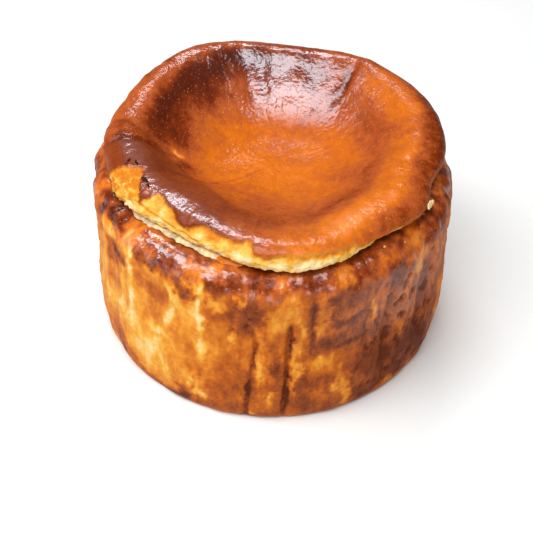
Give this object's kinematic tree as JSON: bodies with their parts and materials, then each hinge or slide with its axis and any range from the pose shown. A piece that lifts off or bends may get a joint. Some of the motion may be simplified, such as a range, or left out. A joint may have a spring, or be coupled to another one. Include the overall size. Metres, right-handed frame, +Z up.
{
  "type": "basque cheesecake",
  "caption": "Whole tall round basque cheesecake with a burnt, sunken top whose rolled rim has lifted off the creased, browned side.",
  "frame": {"origin": "centre of the cake's footprint, on its flat base", "axes": "+Z up, through the sunken top; -Y towards the side shown in the picture; +X to the right of that view"},
  "size_m": [0.1518, 0.1536, 0.0935],
  "materials": {
    "baked_cheesecake": "burnt glossy brown top, golden and brown creased side, pale custard where the edge is torn"
  },
  "bodies": {
    "root": {"cheesecake": "baked_cheesecake"}
  },
  "joints": []
}
